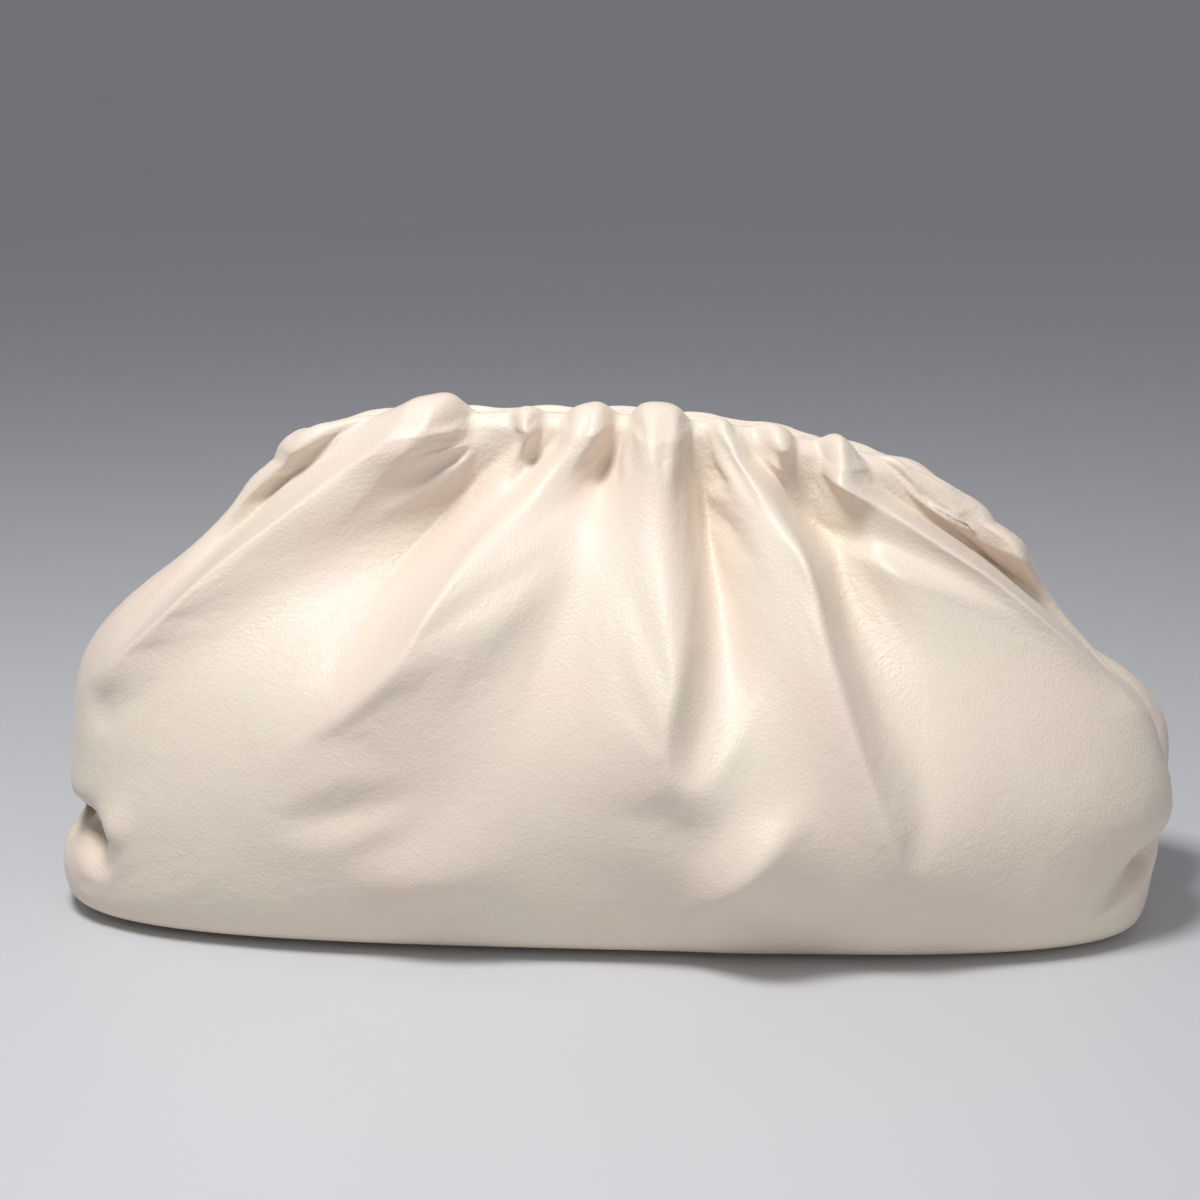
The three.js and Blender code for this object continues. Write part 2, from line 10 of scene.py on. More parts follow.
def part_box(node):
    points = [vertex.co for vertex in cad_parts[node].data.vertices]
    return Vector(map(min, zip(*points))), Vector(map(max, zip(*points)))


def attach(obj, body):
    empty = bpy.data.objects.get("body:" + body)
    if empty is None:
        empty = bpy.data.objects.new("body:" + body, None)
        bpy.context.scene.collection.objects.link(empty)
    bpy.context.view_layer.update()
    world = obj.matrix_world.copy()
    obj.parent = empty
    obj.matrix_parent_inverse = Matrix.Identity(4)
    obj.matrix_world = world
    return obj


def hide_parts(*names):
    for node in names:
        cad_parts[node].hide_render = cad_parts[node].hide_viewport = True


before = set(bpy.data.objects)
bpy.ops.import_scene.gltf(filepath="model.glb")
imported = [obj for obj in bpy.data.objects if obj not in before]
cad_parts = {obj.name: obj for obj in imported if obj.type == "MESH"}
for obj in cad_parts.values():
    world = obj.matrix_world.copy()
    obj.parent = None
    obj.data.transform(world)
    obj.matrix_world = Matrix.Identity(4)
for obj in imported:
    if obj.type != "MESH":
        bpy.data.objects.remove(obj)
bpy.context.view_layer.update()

bl_info = {
    "name": "Gathered pouch bag",
    "version": (1, 0, 0),
    "blender": (4, 5, 0),
    "location": "View3D > Sidebar > Pouch",
    "description": "Builds a soft gathered leather pouch bag over its packed frame",
    "category": "Add Mesh",
}

MM = 0.001
OVER_LIP = 1.14  # row where a fold that starts at the rim ends over the lip
HELD_WIDTH = 2.0  # mm of leather held each side of a fold line
HELD_HEIGHT = 5.0  # mm that a fold stands out where its line is held in full
FLANK = 1.6  # 1 is an even flank; higher falls away faster beside the crest
ROUND_END = 0.18  # share of a fold's length over which an end is rounded
FLARE = 0.35  # how far the side of the lip leans outwards on its way down
POINTED = 1.4  # 1 is a round lip; higher is more pointed
CALM = 0.6  # how far small wrinkles between the fold lines are smoothed away
CALM_TOP, CALM_RUN = 0.93, 0.15  # row above which none are, and the rows below it that this fades over
CALM_GAP = 1.5  # above 1, a wider band beside the fold lines keeps its wrinkles
GATHER_START, GATHER_RUN = 0.6, 0.35  # row from which the leather draws in more, and rows until it does in full
HEM_FADE = 2.0  # mm of leather over which the hem starts to be held
PIN_LEVELS = 50  # steps in how firmly a point is held
SETTLED = 60.0  # mm; the leather has not settled if a point moves further
PRESSED = 10.0  # mm inside the plain form where the leather counts as fully pressed in
CLOTH_LIP = (4, 15, 4)  # points up the side of the lip, over it and down the hem while the leather settles
MESH_LIP = (4, 19, 5)  # the same in the mesh
INNER_STEPS = (4, 2)  # the inner skin keeps each fourth row of the body and each second row of the lip
FLOOR_RINGS = [0.0, 0.35, 0.7, 0.93]  # rings of the base and of the floor inside, as shares of its edge
MOUTH_LEFT, MOUTH_RIGHT = -0.5525, 0.5975  # ends of the mouth, as shares of half the width
TO_VIEWER = 4.5  # how much more the front folds stand towards the viewer than straight out

# Body sections from the base to below the lip. Columns: rise (share of the lip's foot height),
# left, right (shares of half the width), front, back (shares of half the depth), square (2 is an ellipse)
SECTIONS = [
    (0.00, 0.925, 0.905, 0.720, 0.780, 3.6),
    (0.035, 0.985, 0.940, 0.890, 0.910, 3.4),
    (0.11, 1.000, 0.955, 0.970, 0.985, 3.1),
    (0.21, 0.990, 0.970, 1.000, 1.000, 2.9),
    (0.32, 0.986, 0.992, 0.985, 0.990, 2.8),
    (0.44, 0.980, 0.975, 0.915, 0.930, 2.7),
    (0.56, 0.962, 0.932, 0.795, 0.815, 2.6),
    (0.68, 0.890, 0.850, 0.635, 0.655, 2.6),
    (0.79, 0.780, 0.780, 0.460, 0.475, 2.6),
    (0.88, 0.702, 0.736, 0.325, 0.325, 2.7),
    (0.95, 0.652, 0.700, 0.238, 0.235, 2.9),
]

# Top of the lips. Columns: share along the mouth from the left, share of the height
RIM_LINE = [
    (0.00, 0.910), (0.10, 0.945), (0.25, 0.955), (0.50, 0.955),
    (0.65, 0.940), (0.80, 0.905), (0.92, 0.865), (1.00, 0.810),
]

# Where the folds are drawn from: degrees round and above, millimetres away, lens on a 36 mm sensor,
# and the point looked at, from the middle of the mouth (x) and above the floor (z)
VIEW_AZIMUTH, VIEW_ELEVATION, VIEW_DISTANCE, VIEW_LENS, VIEW_SENSOR = 4.0, 13.0, 900.0, 75.7, 36.0
VIEW_ASIDE, VIEW_HEIGHT = -10.5, 109.0
DRAWING = 1200  # drawing steps across the view; about 0.36 mm each on the bag

# Folds seen from the front. Columns: name, path of (right, down) drawing steps, height in mm
# (start, peak, peak at, end), left flank (start, end) and right flank (start, end) in mm, crest radius in mm,
# whether it starts at the rim, how firmly its line is held while the leather settles
FRONT_FOLDS = [
    ("left end roll", [(335, 425), (290, 450), (250, 490), (190, 560)],
     (0, 3, .4, 0), (14, 16), (12, 14), 8, True, .6),
    ("left valley", [(390, 410), (340, 440), (300, 470), (240, 525), (180, 580), (120, 632)],
     (0, -5, .55, 0), (12, 12), (6, 6), 2, True, .8),
    ("first gather edge", [(405, 420), (350, 462), (300, 500), (235, 553), (180, 603), (135, 643), (110, 670)],
     (1, 10, .6, 4), (6, 7), (50, 34), 1.5, True, 1),
    ("first gather", [(447, 400), (412, 440), (368, 490), (305, 560), (235, 640)],
     (7, 7, .2, 0), (24, 60), (9, 60), 8, True, .7),
    ("first tuck", [(485, 405), (500, 435), (500, 455), (470, 490), (430, 530), (395, 570), (368, 605),
                    (345, 650)], (-3, -12, .45, 0), (8, 50), (6, 16), 4, True, 1),
    ("first pit", [(478, 404), (496, 424), (508, 440), (500, 456)], (-5, -12, .7, -3), (6, 8), (5, 6), 1.5, True, 1),
    ("second gather", [(528, 405), (522, 435), (500, 470), (478, 505), (450, 535)],
     (1, 5, .5, 0), (8, 12), (8, 12), 2, True, 1),
    ("second crease", [(557, 410), (553, 437), (525, 475), (495, 508), (465, 540), (430, 590)],
     (-4, -8, .5, 0), (5, 18), (5, 7), 1.5, True, 1),
    ("third gather edge", [(585, 412), (565, 445), (535, 475), (505, 508), (472, 548), (440, 595), (408, 645),
                           (375, 682), (338, 716), (298, 745)], (1.5, 12, .7, 3), (6, 16), (40, 60), 1.5, True, 1),
    ("third gather", [(603, 405), (600, 440), (585, 480), (560, 530)],
     (1, 3, .3, 0), (14, 26), (8, 14), 4, True, .7),
    ("third crease", [(625, 410), (618, 442), (606, 470), (596, 500), (585, 525)],
     (-5, -13, .5, 0), (7, 16), (5, 12), 1.5, True, 1),
    ("fourth gather", [(653, 405), (650, 450), (642, 520), (632, 600), (618, 690)],
     (1, 6, .4, 0), (14, 50), (13, 24), 8, True, .7),
    ("fourth gather edge", [(674, 420), (685, 460), (691, 510), (692, 560), (688, 615), (676, 675), (664, 725),
                            (668, 765), (690, 783), (722, 765), (750, 712), (776, 665), (803, 622), (820, 590)],
     (1.5, 11.5, .36, 0), (45, 45), (6, 26), 3.5, True, 1),
    ("deep pit", [(697, 440), (702, 480), (706, 530), (706, 600), (702, 670), (694, 735)],
     (-5, -17, .3, 0), (6, 18), (10, 38), 2.5, True, 1),
    ("small pleat", [(690, 410), (690, 430), (697, 452)], (2, 2, .5, 0), (5, 5), (5, 5), 2, True, .5),
    ("fifth gather", [(716, 410), (722, 436), (745, 463), (768, 487), (797, 540), (814, 595), (830, 655),
                      (850, 720), (872, 785), (890, 840), (910, 874), (932, 850), (945, 812), (956, 788)],
     (1.5, 12, .4, 1), (40, 40), (9, 26), 3, True, 1),
    ("fifth valley", [(745, 425), (752, 448), (790, 500), (832, 560), (852, 640), (872, 710), (890, 775),
                      (907, 830)], (-4, -10, .45, 0), (6, 14), (7, 34), 2.5, True, 1),
    ("narrow strip", [(758, 448), (780, 470), (806, 503), (822, 538)],
     (1, 4, .5, 0), (5, 6), (5, 5), 1.5, False, .7),
    ("sixth gather", [(778, 420), (775, 445), (786, 475), (798, 495)],
     (1, 4.5, .5, 0), (12, 10), (12, 12), 5, True, 1),
    ("sharp pit", [(812, 430), (812, 455), (806, 490), (812, 520), (838, 538), (880, 545)],
     (-5, -18, .5, 0), (6, 10), (6, 14), 1.5, True, 1),
    ("seventh gather", [(840, 430), (836, 455), (834, 478)], (1.5, 5.5, .6, 4), (9, 11), (14, 18), 4, True, 1),
    ("long overlap", [(834, 478), (860, 492), (900, 514), (950, 546), (1000, 586), (1040, 621), (1080, 653),
                      (1110, 680), (1135, 706)], (4, 11, .45, 3), (30, 40), (7, 11), 1.5, False, 1),
    ("long valley", [(872, 445), (886, 480), (908, 505), (950, 533), (1000, 568), (1050, 608), (1085, 642),
                     (1112, 668)], (-5, -13, .35, -6), (6, 9), (10, 14), 2, True, 1),
    ("curl crease", [(868, 440), (880, 470), (896, 500)], (-4, -11, .5, 0), (6, 7), (5, 6), 1.5, True, .8),
    ("curl", [(884, 438), (893, 458), (908, 462)], (2, 3.5, .5, 0), (7, 8), (7, 8), 4, True, .6),
    ("eighth gather", [(940, 468), (975, 512), (1020, 567), (1065, 622), (1098, 655)],
     (1, 5, .4, 1), (8, 8), (8, 10), 4, False, .9),
    ("second ridge", [(815, 548), (868, 560), (930, 583), (990, 605), (1045, 628)],
     (2, 6, .4, 0), (40, 40), (10, 12), 3, False, .8),
    ("left dent", [(125, 668), (107, 715), (102, 760), (116, 795)],
     (0, -3, .5, 0), (18, 18), (16, 16), 16, False, 0),
    ("low ridge", [(672, 905), (705, 900), (742, 872), (775, 835), (805, 810), (840, 795)],
     (0, 9, .45, 0), (44, 44), (16, 20), 5, False, .8),
    ("soft arc", [(440, 665), (480, 620), (540, 600), (600, 628)],
     (0, 4, .5, 0), (24, 24), (36, 36), 20, False, 0),
    ("low left dip", [(170, 870), (250, 845), (330, 820), (380, 850), (385, 880)],
     (0, -4, .5, 0), (24, 24), (30, 30), 20, False, 0),
    ("low middle bump", [(370, 905), (400, 885), (470, 878), (540, 885)],
     (0, 3, .5, 0), (22, 22), (30, 30), 20, False, 0),
    ("left ear crease", [(100, 866), (97, 848), (84, 832), (68, 822)],
     (-6, -16, .5, -16), (9, 9), (7, 8), 2, False, 1),
    ("left ear top", [(103, 795), (104, 825), (107, 858)], (0, 5, .7, 2), (8, 7), (16, 16), 3, False, .7),
    ("right ear crease", [(1088, 930), (1110, 905), (1130, 880), (1150, 866)],
     (0, -6, .6, -6), (5, 6), (5, 6), 1.5, False, 1),
]
# Folds round the ends. Columns as above, with the path as (row, around) points and no rim column.
# Row: 0 base edge, 1 foot of the lip. Around: 0 left end, 1 right end, 2 left end again by the back.
END_FOLDS = [
    ("left gusset", [(1.0, -.02), (.8, -.03), (.5, -.03), (.35, -.02)],
     (0, -6, .5, -4), (16, 24), (16, 20), 8, .8),
    ("left ear crease end", [(.262, .075), (.262, 0), (.26, -.07), (.24, -.13)],
     (-14, -14, .1, 0), (9, 8), (8, 8), 2, 1),
    ("right gusset", [(.98, 1.06), (.8, 1.05), (.64, 1.03), (.52, 1.0), (.4, .98), (.3, .98)],
     (0, -9, .8, -6), (14, 10), (14, 14), 3, 1),
    ("right ear crease end", [(.26, .90), (.29, .95), (.30, 1.0), (.28, 1.08)],
     (-6, -6, .1, 0), (5, 6), (5, 6), 1.5, 1),
    ("right back bulge", [(.65, 1.06), (.45, 1.07), (.3, 1.07)], (0, 6, .5, 0), (30, 30), (30, 30), 30, 0),
]
# Back gathers. Columns: around at the lip, at the end, end row, height at the lip and peak in mm, flank in mm
BACK_FOLDS = [
    (1.08, 1.05, .62, .5, 3.5, 18), (1.13, 1.095, .64, -2, -6, 14), (1.18, 1.15, .5, .75, 4.5, 30),
    (1.235, 1.22, .66, -2, -7, 20), (1.29, 1.26, .42, .75, 5.5, 34), (1.345, 1.35, .7, -2.5, -7.5, 18),
    (1.4, 1.415, .55, .5, 4.5, 28), (1.455, 1.475, .6, -2, -7.5, 24), (1.51, 1.545, .45, .75, 5.5, 36),
    (1.57, 1.59, .68, -2, -6.5, 18), (1.62, 1.67, .52, .5, 5, 30), (1.68, 1.71, .64, -2.5, -7, 22),
    (1.74, 1.78, .5, .75, 5, 32), (1.8, 1.83, .66, -2, -6.5, 18), (1.865, 1.89, .58, .5, 4, 24),
    (1.93, 1.945, .64, -1, -4.5, 15),
]
BACK_PEAK = 0.4  # share of a back gather's length where it peaks
BACK_BEND = (0.45, 0.35)  # shares of the way down and of the way sideways where it starts to spread
BACK_LIP_FLANK = (0.3, 2)  # its flank at the lip: share of the flank below, and mm more
BACK_RIDGE, BACK_VALLEY = 9, 3  # crest radius of a ridge and of a valley in mm
BACK_HOLD = 0.8  # how firmly its line is held

# Lights: place and size in metres. The camera sees the sky weaker than it shines, level with the far floor.
KEY_PLACE, KEY_SIZE = (-0.24, -0.37, 1.08), 0.3
FILL_PLACE, FILL_SIZE = (0.7, -1.1, 0.5), 0.9
SKY_COLOUR, SKY_LIGHT, SKY_SEEN = "D5D8DE", 0.36, 0.245
BAG_MIDDLE = (0, 0, 0.09)
FLOOR_SIZE = 400  # wide enough for its far edge to be the horizon


def linear(hex_colour):
    """A linear colour from an sRGB hex value."""
    parts = [int(hex_colour[i:i + 2], 16) / 255 for i in (0, 2, 4)]
    return [c / 12.92 if c <= 0.04045 else ((c + 0.055) / 1.055) ** 2.4 for c in parts]


class PouchSizes(bpy.types.PropertyGroup):
    """Sizes of the bag."""
    width: bpy.props.FloatProperty(
        name="Width", description="Left to right at the widest", default=0.400, unit="LENGTH")
    depth: bpy.props.FloatProperty(
        name="Depth", description="Front to back at the belly", default=0.166, unit="LENGTH")
    height: bpy.props.FloatProperty(
        name="Height", description="Floor to the top of the mouth", default=0.186, unit="LENGTH")
    wall: bpy.props.FloatProperty(
        name="Leather", description="Thickness of the leather", default=0.002, unit="LENGTH")
    roll: bpy.props.FloatProperty(
        name="Rolled lip", description="Radius of the lip rolled over the frame", default=0.006, unit="LENGTH")
    mouth_gap: bpy.props.FloatProperty(
        name="Mouth gap", description="Slit between the two lips", default=0.005, unit="LENGTH")
    fold_gain: bpy.props.FloatProperty(
        name="Folds", description="How strongly the folds stand out", default=1.75, min=0)
    cloth_front: bpy.props.IntProperty(
        name="Settling columns, front", description="Columns across the front while it settles", default=240,
        min=40)
    cloth_back: bpy.props.IntProperty(
        name="Settling columns, back", description="Columns across the back while it settles", default=120, min=40)
    cloth_rows: bpy.props.IntProperty(
        name="Settling rows", description="Rows from the base edge to the lip while it settles", default=100,
        min=20)
    front_columns: bpy.props.IntProperty(
        name="Front columns", description="Mesh columns across the front", default=300, min=40)
    back_columns: bpy.props.IntProperty(
        name="Back columns", description="Mesh columns across the back", default=150, min=40)
    body_rows: bpy.props.IntProperty(
        name="Body rows", description="Mesh rows from the base edge to the lip", default=140, min=20)


class PouchCloth(bpy.types.PropertyGroup):
    """How the leather settles between its folds."""
    enlarge: bpy.props.FloatProperty(
        name="Enlarged", description="How many times its size the leather settles at", default=10.0, min=1)
    frames: bpy.props.IntProperty(
        name="Frames", description="Frames that the leather settles for", default=16, min=1)
    tension: bpy.props.FloatProperty(
        name="Tension", description="Stiffness against stretching", default=30.0, min=0)
    bending: bpy.props.FloatProperty(
        name="Bending", description="Stiffness against bending", default=1.2, min=0)
    pressure: bpy.props.FloatProperty(
        name="Filling", description="Push from inside the bag", default=0.6)
    shrink_belly: bpy.props.FloatProperty(
        name="Shrink below", description="Share the leather draws in by at the belly", default=0.002)
    shrink_rim: bpy.props.FloatProperty(
        name="Shrink at the rim", description="Share it draws in by at the rim; below zero it grows",
        default=0.012)
    base_held: bpy.props.FloatProperty(
        name="Base held", description="Rows above the base edge that stay where they are", default=0.12,
        min=0.01)


class PouchLook(bpy.types.PropertyGroup):
    """Colours of the bag."""
    leather: bpy.props.FloatVectorProperty(
        name="Leather", description="Cream of the smooth leather", subtype="COLOR", default=linear("E3D6C5"))
    leather_warm: bpy.props.FloatVectorProperty(
        name="Warm leather", description="Slightly pinker patches", subtype="COLOR", default=linear("E4D2C3"))
    # painted shade: a darker cream that stands in for the shade falling into the folds
    leather_painted_shade: bpy.props.FloatVectorProperty(
        name="Leather in folds", description="Cream where the leather is pressed together", subtype="COLOR",
        default=linear("CFBEAA"))
    steel: bpy.props.FloatVectorProperty(
        name="Steel", description="Strip of the hidden frame", subtype="COLOR", default=linear("A7A6A2"))


class PouchStage(bpy.types.PropertyGroup):
    """Camera, floor and lights."""
    azimuth: bpy.props.FloatProperty(
        name="Azimuth", description="Camera angle round the bag, in degrees", default=VIEW_AZIMUTH)
    elevation: bpy.props.FloatProperty(
        name="Elevation", description="Camera angle above the floor, in degrees", default=VIEW_ELEVATION)
    distance: bpy.props.FloatProperty(
        name="Distance", description="Camera to the middle of the bag", default=VIEW_DISTANCE * MM, unit="LENGTH")
    lens: bpy.props.FloatProperty(
        name="Lens", description="Focal length in millimetres on a 36 mm sensor", default=VIEW_LENS)
    floor: bpy.props.FloatVectorProperty(
        name="Floor", description="Plain pale floor", subtype="COLOR", default=linear("C9CACD"))
    key_power: bpy.props.FloatProperty(
        name="Key light", description="Power of the large light above", default=11.0, unit="POWER")
    fill_power: bpy.props.FloatProperty(
        name="Fill light", description="Power of the soft light in front", default=2.8, unit="POWER")


# Curves and rings


def smooth(x):
    """0 to 1 without a corner at either end."""
    x = np.clip(x, 0, 1)
    return x * x * (3 - 2 * x)


def spline(stations, values, x):
    """Smooth curve through values at the stations; each value may be a number, a point or an array."""
    xs = np.asarray(stations, float)
    ys = np.asarray(values, float)
    x = np.clip(np.asarray(x, float), xs[0], xs[-1])
    i = np.clip(np.searchsorted(xs, x, side="right") - 1, 0, len(xs) - 2)

    def slope(j):
        a = np.clip(j - 1, 0, len(xs) - 1)
        b = np.clip(j + 1, 0, len(xs) - 1)
        run = (xs[b] - xs[a]).reshape(np.shape(j) + (1,) * (ys.ndim - 1))
        return (ys[b] - ys[a]) / run

    h = (xs[i + 1] - xs[i]).reshape(x.shape + (1,) * (ys.ndim - 1))
    t = (x - xs[i]).reshape(h.shape) / h
    return ((2 * t**3 - 3 * t**2 + 1) * ys[i] + (t**3 - 2 * t**2 + t) * h * slope(i)
            + (3 * t**2 - 2 * t**3) * ys[i + 1] + (t**3 - t**2) * h * slope(i + 1))


def by_length(x, y, u):
    """Points at shares u of a polyline's length."""
    run = np.concatenate([[0], np.cumsum(np.hypot(np.diff(x), np.diff(y)))])
    return np.interp(u, run / run[-1], x), np.interp(u, run / run[-1], y)


def half_ring(left, right, depth, square, u):
    """Half a superellipse from its left end to its right end."""
    a = np.linspace(np.pi, 0, 721)
    x = np.abs(np.cos(a)) ** (2 / square) * np.where(np.cos(a) < 0, -left, right)
    return by_length(x, depth * np.abs(np.sin(a)) ** (2 / square), u)


def around(w, half):
    """Plan points of a ring, 0 to 1 along the front from the left, 1 to 2 back along the back."""
    front = w <= 1
    fx, fy = half(np.where(front, w, 0), 0)
    bx, by = half(np.where(front, 0, 2 - w), 1)
    return np.where(front, fx, bx), np.where(front, -fy, by)


class PouchForm:
    """The bag's surface as a function of around and row, in millimetres."""

    LIP_UNIT = 100.0  # mm of leather to one row above the foot of the lip
    HEM = 10.0  # mm of leather turned in over the frame
    LEVEL_START, LEVEL_RUN = 0.62, 0.3  # row from which the folds turn to stand out level, and the rows it takes
    END_FADE = 0.05  # part of the front next to each end where folds turn less towards the viewer
    LIP_FADE = 1.2  # radians over the lip where they no longer turn
    PUFF_START, PUFF_RUN = 0.86, 0.14  # row from which the leather swells below the lip, and the rows it takes
    BASE_FADE = 0.12  # rows above the base edge over which the folds rise

    def __init__(self, sizes):
        self.half_width = sizes.width / MM / 2
        self.half_depth = sizes.depth / MM / 2
        self.height = sizes.height / MM
        self.wall = sizes.wall / MM
        self.roll = sizes.roll / MM
        self.left = MOUTH_LEFT * self.half_width
        self.right = MOUTH_RIGHT * self.half_width
        self.middle = (self.left + self.right) / 2
        self.gain = sizes.fold_gain
        self.sink = 2.5  # mm that a valley may sink into the lip
        self.puff = 0.5  # mm that the leather swells below the lip
        self.roll_y = sizes.mouth_gap / MM / 2 + self.roll
        self.lip_side = 4.0  # mm of leather up the side of the lip
        self.lip_depth = self.roll + self.lip_side
        self.hem_row = 1 + (self.lip_side + np.pi * self.roll) / self.LIP_UNIT

    def columns(self, front, back):
        return np.concatenate([np.linspace(0, 1, front, endpoint=False), np.linspace(1, 2, back, endpoint=False)])

    def rows(self, body, side, over, hem):
        lips = np.concatenate([
            np.linspace(0, self.lip_side, side)[1:],
            self.lip_side + np.linspace(0, np.pi * self.roll, over)[1:],
            self.lip_side + np.pi * self.roll + np.linspace(0, self.HEM, hem)[1:],
        ])
        return np.concatenate([np.linspace(0, 1, body), 1 + lips / self.LIP_UNIT])

    def half_mouth(self, r):
        """Half the outline at a level distance r from the middle line of the mouth."""
        x0 = self.left + self.roll_y
        x1 = self.right - self.roll_y
        a = np.linspace(0, np.pi / 2, 25)
        x = np.concatenate([x0 - r * np.cos(a), x1 + r * np.sin(a)])
        y = np.concatenate([r * np.sin(a), r * np.cos(a)])
        return lambda u, side: by_length(x, y, u)

    def rim_height(self, x):
        share = (x - self.left) / (self.right - self.left)
        return self.height * spline([r[0] for r in RIM_LINE], [r[1] for r in RIM_LINE], share)

    def body(self, w, t):
        """Rows from the base edge to the foot of the lip."""
        lx, ly = around(w, self.half_mouth(self.roll_y + self.roll + FLARE * self.lip_side))
        foot = self.rim_height(lx) - self.lip_depth
        rings = []
        for rise, left, right, front, back, square in SECTIONS:
            depths = (front * self.half_depth, back * self.half_depth)
            x, y = around(w, lambda u, side: half_ring(
                left * self.half_width, right * self.half_width, depths[side], square, u))
            rings.append(np.stack([x, y, rise * foot], -1))
        rings.append(np.stack([lx, ly, foot], -1))
        return spline(np.linspace(0, 1, len(rings)), rings, t)

    def lip(self, w, e):
        """One row of the lip, e mm of leather above its foot."""
        turn = (e - self.lip_side) / self.roll
        if turn <= 0:
            r, drop = self.roll_y + self.roll * (1 - FLARE * turn), self.roll * (1 - turn)
        elif turn <= np.pi / 2:
            r = self.roll_y + self.roll * np.cos(turn) ** POINTED
            drop = self.roll * (1 - np.sin(turn) ** POINTED)
        elif turn <= np.pi:
            r, drop = self.roll_y + self.roll * np.cos(turn), self.roll - self.roll * np.sin(turn)
        else:
            r, drop = self.roll_y - self.roll, self.roll + (turn - np.pi) * self.roll
        x, y = around(w, self.half_mouth(r))
        return np.stack([x, y, self.rim_height(x) - drop], -1)

    def plain(self, w, t):
        """The form without folds on a grid of rows t and columns w."""
        lips = [self.lip(w, (v - 1) * self.LIP_UNIT) for v in t[t > 1]]
        return np.concatenate([self.body(w, t[t <= 1])] + [np.array(lips)])

    def measure(self, grid, w):
        """Leather length up to each row, and half-way around at each row."""
        step = np.linalg.norm(np.diff(grid, axis=0), axis=-1)
        middle = (w > 0.25) & (w < 0.75)
        up = np.concatenate([[0], np.cumsum(step[:, middle].mean(1))])
        half = np.linalg.norm(np.diff(grid[:, w <= 1], axis=1), axis=-1).sum(1)
        return up, half

    def to_viewer(self):
        azimuth = math.radians(VIEW_AZIMUTH)
        elevation = math.radians(VIEW_ELEVATION)
        level = math.cos(elevation)
        return np.array([math.sin(azimuth) * level, -math.cos(azimuth) * level, math.sin(elevation)])

    def front_paths(self):
        """The drawn fold lines as (row, around) points on the form."""
        w = np.linspace(0, 1, 601)
        lips = np.linspace(0, self.lip_side + self.roll * np.pi / 2, 28)[1:]
        t = np.concatenate([np.linspace(0, 1, 361), 1 + lips / self.LIP_UNIT])
        p = self.plain(w, t)
        back = self.to_viewer()
        right = unit(np.array([-back[1], back[0], 0.0]))
        up = np.cross(back, right)
        q = p - (np.array([self.middle + VIEW_ASIDE, 0.0, VIEW_HEIGHT]) + VIEW_DISTANCE * back)
        away = -(q @ back)
        steps = DRAWING * VIEW_LENS / VIEW_SENSOR
        x = DRAWING / 2 + steps * (q @ right) / away
        y = DRAWING / 2 - steps * (q @ up) / away
        behind = 0.02 * (away - away.min())

        def place(at):
            i, j = np.unravel_index(np.argmin(np.hypot(x - at[0], y - at[1]) + behind), x.shape)
            return t[i], w[j]

        return [[place(at) for at in row[1]] for row in FRONT_FOLDS]

    def folds(self):
        """All the folds as name, path, height, left, right, crest, hold."""
        rows = []
        for path, row in zip(self.front_paths(), FRONT_FOLDS):
            name, _, height, left, right, crest, rim, hold = row
            start = [(OVER_LIP, path[0][1])] if rim else []
            rows.append((name, start + path, height, left, right, crest, hold))
        for i, (a, b, end, start, peak, flank) in enumerate(BACK_FOLDS):
            bend = (1 - BACK_BEND[0] * (1 - end), a + BACK_BEND[1] * (b - a))
            path = [(OVER_LIP, a), (1, a), bend, (end, b)]
            wide = (BACK_LIP_FLANK[0] * flank + BACK_LIP_FLANK[1], flank)
            crest = BACK_RIDGE if peak > 0 else BACK_VALLEY
            rows.append((f"back {i}", path, (start, peak, BACK_PEAK, 0), wide, wide, crest, BACK_HOLD))
        return rows + END_FOLDS

    def fold_heights(self, w, t, up, half):
        """Sum of all the folds over the grid in millimetres, and how firmly each point is held."""
        total = np.zeros((len(t), len(w)))
        held = np.zeros((len(t), len(w)))
        for row in self.folds():
            self.add_fold(total, held, row, w, t, up, half)
        return total, held

    def add_fold(self, total, held, row, w, t, up, half, steps=32):
        """Adds one fold to the part of the grid that it reaches."""
        _, path, height, left, right, crest, hold = row
        from_lip = path[0][0] >= OVER_LIP
        fine = spline(np.linspace(0, 1, len(path)), path, np.linspace(0, 1, steps + 1))
        py = np.interp(fine[:, 0], t, up)
        pw = fine[:, 1]
        reach = max(left + right) + 1
        top = np.inf if from_lip else py.max() + reach
        rows = np.nonzero((up > py.min() - reach) & (up < top))[0]
        middle = (pw.min() + pw.max()) / 2
        span = (pw.max() - pw.min()) / 2 + reach / half[rows].min()
        cols = np.nonzero(np.abs((w - middle + 1) % 2 - 1) < span)[0]
        if not len(rows) or not len(cols):
            return
        g = half[rows][:, None]
        m = up[rows][:, None]
        best = np.full((len(rows), len(cols)), 1e18)
        across = np.zeros_like(best)
        along = np.zeros_like(best)
        for i in range(steps):
            x0 = ((w[cols][None, :] - pw[i] + 1) % 2 - 1) * g
            y0 = m - py[i]
            dx = (pw[i + 1] - pw[i]) * g
            dy = py[i + 1] - py[i]
            length2 = dx * dx + dy * dy + 1e-9
            s = np.clip((x0 * dx + y0 * dy) / length2, 0, 1)
            d = (x0 - s * dx) ** 2 + (y0 - s * dy) ** 2
            near = d < best
            best = np.where(near, d, best)
            across = np.where(near, (dx * y0 - dy * x0) / np.sqrt(length2), across)
            along = np.where(near, (i + s) / steps, along)
        wide_left = left[0] + (left[1] - left[0]) * along
        wide_right = right[0] + (right[1] - right[0]) * along
        ends = smooth(np.minimum(1 - along, 1.0 if from_lip else along) / ROUND_END)
        mean = (wide_left + wide_right) / 2
        width = mean + (np.where(across < 0, wide_left, wide_right) - mean) * ends
        over_end = (along <= 0) & from_lip
